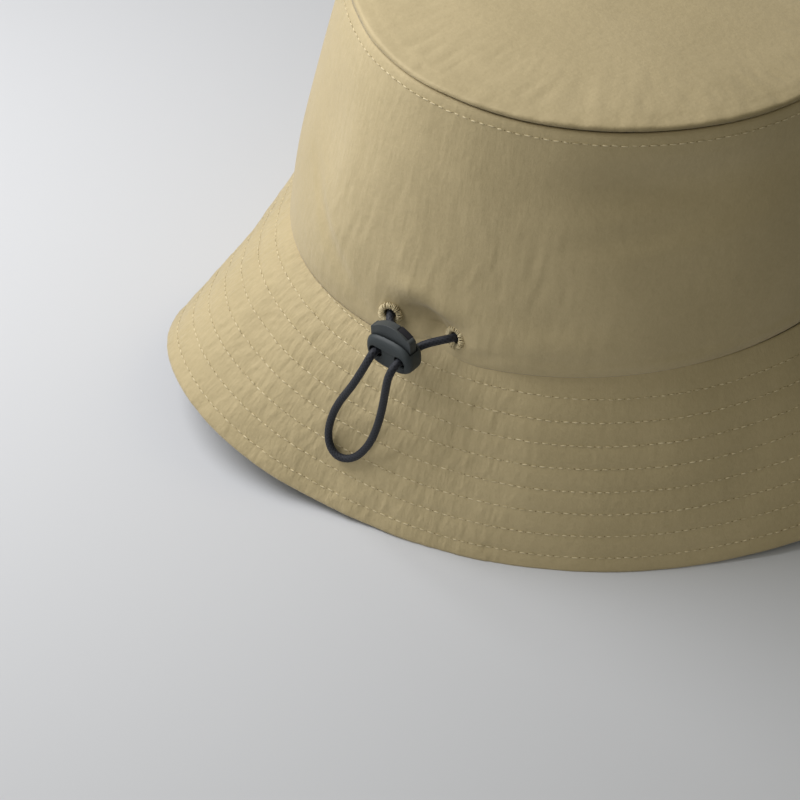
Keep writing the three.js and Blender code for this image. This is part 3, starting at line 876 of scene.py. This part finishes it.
def add_cord():
    path, places = even_path(smooth_path(CORD_ROUTE, 24), 0.3)
    sides, ups = carried_frames(path)
    radius = CORD_DIAMETER / 2
    angle = np.linspace(0, 2 * np.pi, CORD_SIDES + 1)[None, :]
    run = (places / radius)[:, None]
    one_way = np.cos(BRAID_STRANDS * (angle + run))
    other_way = np.cos(BRAID_STRANDS * (angle - run))
    braid = np.maximum(one_way, other_way)
    reach = radius * (1 + 0.045 * (braid - 0.6))
    ring = np.cos(angle)[..., None] * sides[:, None, :] + np.sin(angle)[..., None] * ups[:, None, :]
    skin = path[:, None, :] + ring * reach[..., None]
    skin[:, -1] = skin[:, 0]
    skin = np.concatenate([np.broadcast_to(path[0], skin[:1].shape), skin,
                           np.broadcast_to(path[-1], skin[:1].shape)])
    along = np.concatenate([places[:1], places, places[-1:]])
    piece = sheet_piece("drawcord_braid", to_frame(skin), "cord_map", along, angle[0] / (2 * np.pi))
    finish_piece(piece, cord_finish, "root", "cord", "drawcord")
    return piece, to_frame(path), places[-1] * MM


# Materials

class Signal:
    """A value that varies over a surface. Arithmetic on it adds Math nodes."""

    def __init__(self, tree, socket):
        self.tree = tree
        self.socket = socket

    def math(self, operation, *values):
        node = self.tree.nodes.new("ShaderNodeMath")
        node.operation = operation
        for slot, value in zip(node.inputs, values):
            if isinstance(value, Signal):
                self.tree.links.new(value.socket, slot)
            else:
                slot.default_value = value
        return Signal(self.tree, node.outputs[0])

    def __add__(self, other):
        return self.math("ADD", self, other)

    def __radd__(self, other):
        return self.math("ADD", other, self)

    def __sub__(self, other):
        return self.math("SUBTRACT", self, other)

    def __rsub__(self, other):
        return self.math("SUBTRACT", other, self)

    def __mul__(self, other):
        return self.math("MULTIPLY", self, other)

    def __rmul__(self, other):
        return self.math("MULTIPLY", other, self)

    def __truediv__(self, other):
        return self.math("DIVIDE", self, other)

    def __rtruediv__(self, other):
        return self.math("DIVIDE", other, self)

    def sine(self):
        return self.math("SINE", self)

    def limited(self):
        return self.math("MINIMUM", self.math("MAXIMUM", self, 0.0), 1.0)


class Finish:
    """A material, and the one method that adds a node to it."""

    def __init__(self, name, **constants):
        self.material = bpy.data.materials.new(name)
        self.material.use_nodes = True
        self.tree = self.material.node_tree
        self.tree.nodes.clear()
        self.shader = self.tree.nodes.new("ShaderNodeBsdfPrincipled")
        output = self.tree.nodes.new("ShaderNodeOutputMaterial")
        self.tree.links.new(self.shader.outputs[0], output.inputs[0])
        for key, value in constants.items():
            self.shader.inputs[key.replace("_", " ")].default_value = value
        self.spot = self.node("TexCoord", output=3)

    def node(self, kind, inputs=None, output=0, **settings):
        """Adds one node: its settings first, then the values or links of its sockets."""
        made = self.tree.nodes.new("ShaderNode" + kind)
        for key, value in settings.items():
            setattr(made, key, value)
        for key, value in (inputs or {}).items():
            if isinstance(value, Signal):
                self.tree.links.new(value.socket, made.inputs[key])
            else:
                made.inputs[key].default_value = value
        return Signal(self.tree, made.outputs[output])

    def speckle(self, scale, detail, roughness=0.5, place=None):
        """Noise from 0 to 1 over the piece's own space, or over another place."""
        inputs = {"Vector": place or self.spot, "Scale": scale, "Detail": detail, "Roughness": roughness}
        return self.node("TexNoise", inputs)

    def feed(self, name, signal):
        self.tree.links.new(signal.socket, self.shader.inputs[name])

    def mixed(self, share, first, second):
        """A colour between two colours."""
        return self.node("Mix", {0: share, 6: first, 7: second}, output=2, data_type="RGBA")

    def mapped(self, name):
        """A piece's own map: the place along it and the place across it."""
        place = self.node("UVMap", uv_map=name)
        return [self.node("SeparateXYZ", {0: place}, output=index) for index in range(2)]

    def bumped(self, height, distance, base=None):
        inputs = {"Height": height, "Distance": distance, "Strength": 1.0}
        if base is not None:
            inputs["Normal"] = base
        return self.node("Bump", inputs)


def colour(red, green, blue):
    """A display colour of 0 to 255 as the linear colour that a shader takes."""
    def linear(value):
        share = value / 255
        return share / 12.92 if share <= 0.04045 else ((share + 0.055) / 1.055) ** 2.4
    return (linear(red), linear(green), linear(blue), 1.0)


def add_cloth_finish(name, light, dark, weave_pitch, streaks=None):
    """Woven cloth. Streaks: cell along and across, first and last place along, and depth. The streaks also
    darken the colour where they are low, painted shade in the creases.
    """
    finish = Finish(name, Sheen_Weight=0.18, Sheen_Roughness=0.5, Specular_IOR_Level=0.45)
    along, across = finish.mapped("cloth_map")
    turns = 2 * math.pi / weave_pitch
    weave = (along * turns).sine() * (across * turns).sine()
    slub = finish.speckle(900, 2, 0.6)
    crinkle = finish.speckle(330, 3, 0.55)
    patch = finish.speckle(28, 3)
    shade = 0.5 + (patch - 0.5) * 0.9 + (crinkle - 0.5) * 0.35 + (slub - 0.5) * 0.4 + weave * 0.06
    shade = shade.limited()
    soft = finish.bumped(crinkle + slub * 0.35, 0.00016)
    if streaks:
        cell_along, cell_across, first, last, depth = streaks
        inside = ((along - first) / STREAK_FADE).limited() * ((last - along) / STREAK_FADE).limited()
        place = finish.node("CombineXYZ", {0: along / cell_along, 1: across / cell_across})
        streak_and_crease_shade = finish.speckle(1, 2, place=place)
        share = 0.2 + inside * 0.8
        # Painted shade: the colour darkens where the streaks are low, in the creases
        shade = (shade + (streak_and_crease_shade - 0.5) * share * 0.4).limited()
        soft = finish.bumped(streak_and_crease_shade * share, depth, soft)
    finish.feed("Base Color", finish.mixed(shade, dark, light))
    finish.feed("Roughness", (0.66 + (crinkle - 0.5) * 0.12 + weave * 0.03).limited())
    finish.feed("Normal", finish.bumped(weave, 0.000018, soft))
    return finish.material


def add_thread_finish():
    finish = Finish("pale_thread", Sheen_Weight=0.2, Specular_IOR_Level=0.35)
    fibre = finish.speckle(2600, 2)
    each = finish.speckle(420, 1)
    shade = (0.5 + (fibre - 0.5) * 0.5 + (each - 0.5) * 1.3).limited()
    finish.feed("Base Color", finish.mixed(shade, colour(172, 156, 114), colour(234, 220, 180)))
    finish.feed("Roughness", 0.55 + (fibre - 0.5) * 0.2)
    finish.feed("Normal", finish.bumped(fibre, 0.00008))
    return finish.material


def add_hole_shade_finish():
    # A dark khaki that paints the shade inside the needle holes
    finish = Finish("painted_hole_shade", Specular_IOR_Level=0.1, Roughness=0.9)
    shade = (finish.speckle(500, 1) * 1.6 - 0.3).limited()
    finish.feed("Base Color", finish.mixed(shade, colour(130, 116, 82), colour(156, 140, 102)))
    return finish.material


def add_cord_finish():
    finish = Finish("black_braid", Sheen_Weight=0.1, Sheen_Roughness=0.4, Specular_IOR_Level=0.3)
    along, around = finish.mapped("cord_map")
    round_turns = around * (BRAID_STRANDS * 2 * math.pi)
    run = along * (BRAID_STRANDS * 2 / CORD_DIAMETER)
    one_way = (round_turns + run).sine()
    other_way = (round_turns - run).sine()
    strand = one_way.math("MAXIMUM", one_way, other_way)
    fibre = finish.speckle(2400, 2)
    shade = (0.35 + strand * 0.3 + (fibre - 0.5) * 0.6).limited()
    finish.feed("Base Color", finish.mixed(shade, colour(14, 15, 20), colour(52, 55, 63)))
    finish.feed("Roughness", 0.6 + (fibre - 0.5) * 0.3)
    finish.feed("Normal", finish.bumped(fibre + strand * 0.4, 0.00006))
    return finish.material


def add_lock_finish(name, dark, light):
    finish = Finish(name, Specular_IOR_Level=0.34)
    grain = finish.speckle(3200, 2)
    cloud = finish.speckle(160, 2)
    shade = (0.5 + (cloud - 0.5) * 0.8 + (grain - 0.5) * 0.25).limited()
    finish.feed("Base Color", finish.mixed(shade, dark, light))
    finish.feed("Roughness", (0.52 + (grain - 0.5) * 0.2 + (cloud - 0.5) * 0.15).limited())
    finish.feed("Normal", finish.bumped(grain, 0.00002))
    return finish.material


def add_floor_finish():
    finish = Finish("pale_floor", Roughness=0.85, Specular_IOR_Level=0.2)
    shade = (0.5 + (finish.speckle(3, 2) - 0.5) * 0.2).limited()
    finish.feed("Base Color", finish.mixed(shade, colour(200, 202, 205), colour(205, 207, 210)))
    return finish.material


KHAKI = (colour(192, 175, 134), colour(166, 150, 110))
BAND_KHAKI = (colour(170, 154, 116), colour(146, 130, 94))
NYLON_PITCH = 0.42
BAND_PITCH = 0.9
STREAK_FADE = 25
brim_streaks = (1.3, 4.4, brim_length(25), brim_length(118), 0.0003)
crown_streaks = (1.9, 7.5, math.radians(55) * HEAD_LENGTH / 2, math.radians(122) * HEAD_LENGTH / 2, 0.00014)
brim_finish = add_cloth_finish("khaki_brim", *KHAKI, NYLON_PITCH, brim_streaks)
crown_finish = add_cloth_finish("khaki_crown", *KHAKI, NYLON_PITCH, crown_streaks)
cloth_finish = add_cloth_finish("khaki_nylon", *KHAKI, NYLON_PITCH)
band_finish = add_cloth_finish("khaki_band", *BAND_KHAKI, BAND_PITCH)
thread_finish = add_thread_finish()
hole_shade_finish = add_hole_shade_finish()
cord_finish = add_cord_finish()
# One slate plastic in two copies: the button's copy is lighter than the barrel's, painted light on the
# button's top
barrel_finish = add_lock_finish("slate_barrel", colour(39, 44, 46), colour(58, 65, 66))
button_lit_finish = add_lock_finish("slate_button_painted_light", colour(48, 52, 54), colour(70, 75, 76))
# A dark plastic that paints the shade in the recess of the button's top
button_shade_finish = add_lock_finish("button_painted_shade", colour(24, 25, 32), colour(37, 38, 47))


def finish_piece(piece, material, body, slot, *nodes):
    """Gives a piece its material, ties it to its body, and hides the nodes it stands for."""
    piece.data.materials.clear()
    piece.data.materials.append(material)
    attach(piece, body)
    if nodes:
        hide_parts(*nodes)
    return piece


# The drawcord is made right after the camera, with the length that it really has

cord_piece, cord_path, cord_length = add_cord()


# The cord lock, in its own frame: X along the holes, Y up to the button, Z out of the holes

def lock_matrix():
    stand = Matrix(((-1, 0, 0), (0, 0, 1), (0, 1, 0))).transposed().to_4x4()
    roll = Matrix.Rotation(math.radians(LOCK_ROLL), 4, "Z")
    place = Matrix.Translation(Vector(to_frame(LOCK_CENTRE)))
    return place @ stand @ roll @ Matrix.Diagonal((MM, MM, MM, 1))


def barrel_half_height(across):
    share = min(abs(across) / (BARREL_WIDTH / 2), 1)
    return BARREL_HEIGHT / 2 * (1 - share ** BARREL_SQUARENESS) ** (1 / BARREL_SQUARENESS)


CORD_RADIUS = CORD_DIAMETER / 2
HOLE_RADIUS = CORD_RADIUS + HOLE_CLEARANCE
CAVITY_DEPTH = BARREL_DEPTH - 2 * BARREL_WALL
BUTTON_DEPTH = CAVITY_DEPTH - 2 * GAP - BUTTON_THINNED
BUTTON_HALF = PLUNGER_WIDTH / 2
BUTTON_TOP = barrel_half_height(BUTTON_HALF) + PLUNGER_RISE
WINDOW_HALF = CORD_RADIUS + GAP + 0.1
BAR_TOP = HOLE_RISE - CORD_RADIUS - GAP
BAR_BOTTOM = BAR_TOP - 0.8
WINDOW_TOP = HOLE_RISE + CORD_RADIUS + GAP + PLUNGER_TRAVEL
SHOULDER = HOLE_SPACING / 2 + WINDOW_HALF
LEG_BOTTOM = BAR_TOP + 2
BAR_HALF = HOLE_SPACING / 2 + 0.5 * CORD_RADIUS
MOULD_VOXEL = 0.12


def add_block(name, left, right, bottom, top, half_depth):
    block = add_shape(
        name, bpy.ops.mesh.primitive_cube_add,
        size=1, location=((left + right) / 2, (bottom + top) / 2, 0),
    )
    bpy.ops.transform.resize(value=(right - left, top - bottom, 2 * half_depth))
    bpy.ops.object.transform_apply(location=True, rotation=True, scale=True)
    return block


def add_outline_block(name, outline, depth):
    """A block of an outline: a filled circle moved to the outline and extruded."""
    block = add_shape(
        name, bpy.ops.mesh.primitive_circle_add, vertices=len(outline), radius=1, fill_type="NGON",
    )
    set_places(block, np.array([(x, y, -depth / 2) for x, y in outline]))
    bpy.ops.object.mode_set(mode="EDIT")
    bpy.ops.mesh.select_all(action="SELECT")
    bpy.ops.mesh.extrude_region_move(TRANSFORM_OT_translate={"value": (0, 0, depth)})
    bpy.ops.object.mode_set(mode="OBJECT")
    face_outwards(block)
    return block


def barrel_outline():
    angles = np.linspace(0, 2 * np.pi, 96, endpoint=False)
    power = 2 / BARREL_SQUARENESS
    x = BARREL_WIDTH / 2 * np.sign(np.cos(angles)) * np.abs(np.cos(angles)) ** power
    y = BARREL_HEIGHT / 2 * np.sign(np.sin(angles)) * np.abs(np.sin(angles)) ** power
    return list(zip(x, y))


def quadratic(start, control, end, count):
    shares = np.linspace(0, 1, count, endpoint=False)[:, None]
    start, control, end = (np.array(point, float) for point in (start, control, end))
    return ((1 - shares) ** 2 * start + 2 * shares * (1 - shares) * control + shares ** 2 * end).tolist()


def mould(piece):
    """Melts a cut block into one moulded skin with soft edges, and puts it in its place."""
    apply_modifier(piece, "REMESH", mode="VOXEL", voxel_size=MOULD_VOXEL)
    apply_modifier(piece, "SMOOTH", factor=0.5, iterations=3)
    bpy.ops.object.shade_smooth_by_angle(angle=math.radians(60))
    piece.data.transform(lock_matrix())
    return piece


def add_lock_barrel():
    barrel = add_outline_block("cord_lock_barrel_shell", barrel_outline(), BARREL_DEPTH)
    apply_modifier(
        barrel, "BEVEL", width=BARREL_ROUNDING, segments=6,
        limit_method="ANGLE", angle_limit=math.radians(50),
    )
    for name, half, bottom in (("cavity", BUTTON_HALF, LEG_BOTTOM), ("slot", BAR_HALF, BAR_BOTTOM)):
        wide = half + GAP
        low = bottom - PLUNGER_TRAVEL - GAP
        cut_away(barrel, add_block(name, -wide, wide, low, BARREL_HEIGHT, CAVITY_DEPTH / 2))
    brow = HOLE_RISE + HOLE_RADIUS - 0.1
    reach = SHOULDER + 0.4
    outline = [(-reach, -BARREL_HEIGHT), (reach, -BARREL_HEIGHT)]
    outline += quadratic((reach, brow - 2.2), (reach, brow), (reach - 2.2, brow), 8)
    outline += quadratic((2.2 - reach, brow), (-reach, brow), (-reach, brow - 2.2), 8)
    scoop = add_outline_block("scoop", outline, 2 * SCOOP_DEPTH)
    scoop.data.transform(Matrix.Translation((0, 0, BARREL_DEPTH / 2)))
    cut_away(barrel, scoop)
    for side in (-1, 1):
        cutter = add_shape(
            "hole", bpy.ops.mesh.primitive_cylinder_add, vertices=48, radius=HOLE_RADIUS,
            depth=2 * BARREL_DEPTH, location=(side * HOLE_SPACING / 2, HOLE_RISE, 0),
        )
        bpy.ops.object.transform_apply(location=True, rotation=True, scale=True)
        cut_away(barrel, cutter)
    return mould(barrel)


def button_arch(count):
    """The button's arched top, from its +X side to its -X side."""
    end = BUTTON_HALF - 1.2
    height = BUTTON_TOP + 0.2
    return quadratic((end, height), (0, BUTTON_TOP + 2 * PLUNGER_CROWN - 0.2), (-end, height), count)


def thumb_line(drop):
    """The part of the button's arched top under the thumb, lowered by a drop."""
    return [(x, y - drop) for x, y in button_arch(48) if 2.0 < x < BUTTON_HALF - 1]


def add_button_recess_shade():
    """A dark piece in the recess of the button's top, that paints the shade there."""
    shade_block = add_outline_block("button_recess_shade", thumb_line(0.22) + thumb_line(0.8)[::-1], BUTTON_DEPTH - 0.6)
    shade_block.data.transform(Matrix.Translation((0, 0, -0.7)))
    apply_modifier(shade_block, "BEVEL", width=0.08, segments=2)
    shade_block.data.transform(lock_matrix())
    return shade_block


def add_lock_button():
    half = BUTTON_HALF
    top = BUTTON_TOP
    outline = [(-BAR_HALF, BAR_BOTTOM), (BAR_HALF, BAR_BOTTOM), (BAR_HALF, LEG_BOTTOM), (half, LEG_BOTTOM)]
    outline += quadratic((half, top - 1), (half, top), (half - 1.2, top + 0.2), 6)
    outline += button_arch(24)
    outline += quadratic((1.2 - half, top + 0.2), (-half, top), (-half, top - 1), 6)
    outline += [(-half, top - 1), (-half, LEG_BOTTOM), (-BAR_HALF, LEG_BOTTOM)]
    button = add_outline_block("cord_lock_button", outline, BUTTON_DEPTH)
    for side in (-1, 1):
        middle = side * HOLE_SPACING / 2
        outer = side * (SHOULDER + WINDOW_HALF)
        for name, left, right, high in (
            ("window", middle - WINDOW_HALF, middle + WINDOW_HALF, WINDOW_TOP),
            ("side_window", min(middle, outer), max(middle, outer), LEG_BOTTOM),
        ):
            cut_away(button, add_block(name, left, right, BAR_TOP, high, BUTTON_DEPTH))
    # A shallow recess for the dark piece that paints the shade on the button's top
    line = thumb_line(0.4)
    high = line[0][1] + 6
    recess = add_outline_block("recess", line + [(line[-1][0], high), (line[0][0], high)], BUTTON_DEPTH)
    recess.data.transform(Matrix.Translation((0, 0, -0.8)))
    cut_away(button, recess)
    return mould(button)


# Eyelets: a ring of thread loops sewn over the edge of each hole
LOOP_COUNT = 44
LOOP_POINTS = 8
LOOP_THREAD_RADIUS = 0.16


def loop_template():
    """One loop of thread that lies over the ring from the hole outwards, in millimetres."""
    middle = (EYELET_HOLE_RADIUS + EYELET_RADIUS) / 2
    reach = (EYELET_RADIUS - EYELET_HOLE_RADIUS) / 2 + 0.12
    loop = add_shape("thread_loop", bpy.ops.curve.primitive_bezier_curve_add)
    loop.data.splines.clear()
    line = loop.data.splines.new("POLY")
    line.points.add(LOOP_POINTS - 1)
    for point, angle in zip(line.points, np.linspace(np.radians(215), np.radians(-25), LOOP_POINTS)):
        point.co = (middle + reach * np.cos(angle), 0, 0.35 + 0.75 * np.sin(angle), 1)
    loop.data.dimensions = "3D"
    loop.data.bevel_depth = LOOP_THREAD_RADIUS
    loop.data.bevel_resolution = 1
    loop.data.use_fill_caps = True
    bpy.ops.object.convert(target="MESH")
    return bpy.context.active_object


def add_eyelet(node, turn, rise, seed):
    place = np.array(eyelet_matrix(turn, rise))
    draw = np.random.default_rng(seed)
    frames = []
    for number in range(LOOP_COUNT):
        angle = 2 * np.pi * (number + draw.uniform(-0.25, 0.25)) / LOOP_COUNT
        tilt = Matrix.Rotation(draw.uniform(-0.2, 0.2), 4, "X")
        grow = np.diag([draw.uniform(0.97, 1.06), 1, draw.uniform(0.9, 1.2), 1])
        frames.append(place @ np.array(Matrix.Rotation(angle, 4, "Z") @ tilt) @ grow)
    return copies(node + "_whipping", loop_template(), np.array(frames))


# Making the pieces

barrel_piece = finish_piece(add_lock_barrel(), barrel_finish, "root", "lock", "cord_lock_barrel")
button_piece = finish_piece(add_lock_button(), button_lit_finish, "plunger", "lock", "cord_lock_plunger")
# A dark piece that paints the shade in the button's top recess
button_shade_piece = finish_piece(add_button_recess_shade(), button_shade_finish, "plunger", "lock")
finish_piece(add_brim_upper(), brim_finish, "root", "cloth", "brim")
finish_piece(add_brim_lower(), brim_finish, "root", "cloth")
for panel, rows in (("brim", brim_rows()), ("crown", crown_rows())):
    stitches, hole_shades = zip(*rows)
    finish_piece(add_beads(panel + "_stitches", stitches, 4), thread_finish, "root", "thread")
    # Dark beads between the stitches paint the shade in the needle holes
    finish_piece(add_beads(panel + "_hole_shade_beads", hole_shades, 3), hole_shade_finish, "root", "thread")
finish_piece(add_crown_side(), crown_finish, "root", "cloth", "crown_side")
finish_piece(add_crown_top(), cloth_finish, "root", "cloth", "crown_top")
finish_piece(add_band(), band_finish, "root", "band", "inner_band")
for number, (node, (turn, rise)) in enumerate(EYELETS.items()):
    finish_piece(add_eyelet(node, turn, rise, 400 + number), thread_finish, "root", "thread", node)

exit_turn, exit_rise = EYELETS["eyelet_1"]
cord_exit = to_frame(crown_point(np.array(exit_turn), np.array(exit_rise), 0.0))


# The floor and the light, in metres and watts
FLOOR_SIZE = 8
LIGHT_TINT = (1, 0.995, 1.02)
WORLD_TINT = (1, 0.975, 0.83, 1)
WORLD_STRENGTH = 0.22

# Each light: its place to the right, towards the camera and up, its aim's height, size and power
LIGHTS = {
    "key": (-0.37, -0.08, 0.42, 0.04, 0.42, 2.85),
    "fill": (-0.6, 0.6, 0.3, 0.05, 0.9, 1.8),
}


def add_floor():
    floor = add_shape("floor", bpy.ops.mesh.primitive_plane_add, size=FLOOR_SIZE, location=(0, 0, 0))
    floor.data.materials.append(add_floor_finish())


def add_light():
    right, _, back = camera_axes()
    across = Vector((right.x, right.y, 0)).normalized()
    towards = Vector((back.x, back.y, 0)).normalized()
    for name, (aside, ahead, height, aim, size, power) in LIGHTS.items():
        data = bpy.data.lights.new(name, "AREA")
        data.shape = "DISK"
        data.size = size
        data.energy = power
        data.color = LIGHT_TINT
        light = bpy.data.objects.new(name, data)
        light.location = across * aside + towards * ahead + Vector((0, 0, height))
        light.rotation_mode = "QUATERNION"
        light.rotation_quaternion = (Vector((0, 0, aim)) - light.location).to_track_quat("-Z", "Y")
        bpy.context.scene.collection.objects.link(light)
    world = bpy.data.worlds.new("studio")
    world.use_nodes = True
    background = world.node_tree.nodes["Background"]
    background.inputs["Color"].default_value = WORLD_TINT
    background.inputs["Strength"].default_value = WORLD_STRENGTH
    bpy.context.scene.world = world


add_floor()
add_light()
bpy.context.scene.view_settings.view_transform = "Standard"
